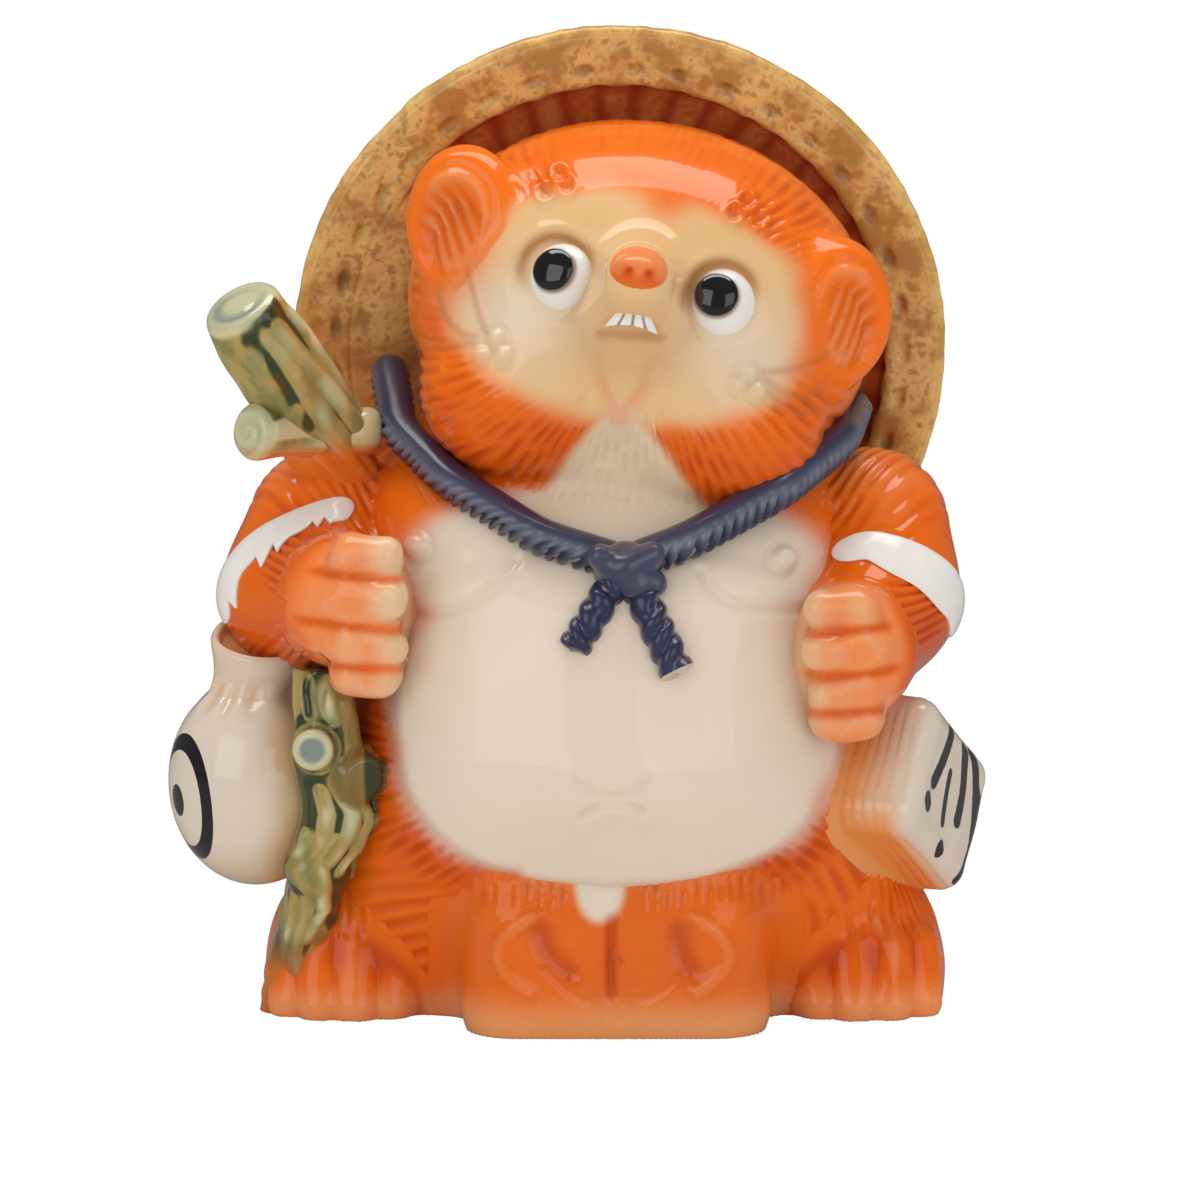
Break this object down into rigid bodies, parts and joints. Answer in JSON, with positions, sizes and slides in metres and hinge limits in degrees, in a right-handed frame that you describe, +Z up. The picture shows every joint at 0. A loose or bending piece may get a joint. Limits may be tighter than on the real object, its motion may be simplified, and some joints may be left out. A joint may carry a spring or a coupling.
{
  "type": "tanuki statue",
  "caption": "Glazed earthenware tanuki figure with a straw hat behind its head, a rope collar, a knotty staff, a sake flask and an account book, for a shelf or doorway.",
  "frame": {"origin": "middle of the foot rim, on the table", "axes": "+Z up, the figure faces -Y, its own left side is at +X"},
  "size_m": [0.1853, 0.1267, 0.2185],
  "materials": {
    "belly_glaze": "gloss",
    "orange_glaze": "gloss",
    "face_glaze": "gloss",
    "straw_glaze": "gloss",
    "white_glaze": "gloss",
    "black_glaze": "gloss",
    "navy_glaze": "gloss",
    "green_glaze": "gloss",
    "cream_glaze": "gloss",
    "bare_clay": "matt"
  },
  "bodies": {
    "root": {"body_front": "belly_glaze", "body_back": "orange_glaze", "base_slab": "bare_clay", "head": "face_glaze", "straw_hat": "straw_glaze", "ear_right": "orange_glaze", "ear_left": "orange_glaze", "muzzle": "face_glaze", "nose": "orange_glaze", "teeth": "white_glaze", "eye_right": "white_glaze", "eye_left": "white_glaze", "pupil_right": "black_glaze", "pupil_left": "black_glaze", "arm_right": "orange_glaze", "arm_left": "orange_glaze", "hand_right": "orange_glaze", "hand_left": "orange_glaze", "foot_right": "orange_glaze", "foot_left": "orange_glaze", "money_bag": "orange_glaze", "tail": "orange_glaze", "rope_right": "navy_glaze", "rope_left": "navy_glaze", "rope_knot": "navy_glaze", "rope_end_right": "navy_glaze", "rope_end_left": "navy_glaze", "staff_top": "green_glaze", "staff_stubs": "green_glaze", "staff_foot": "green_glaze", "flask_body": "cream_glaze", "flask_neck": "cream_glaze", "flask_cord": "cream_glaze", "ledger": "cream_glaze", "ledger_cord": "cream_glaze"}
  },
  "joints": []
}
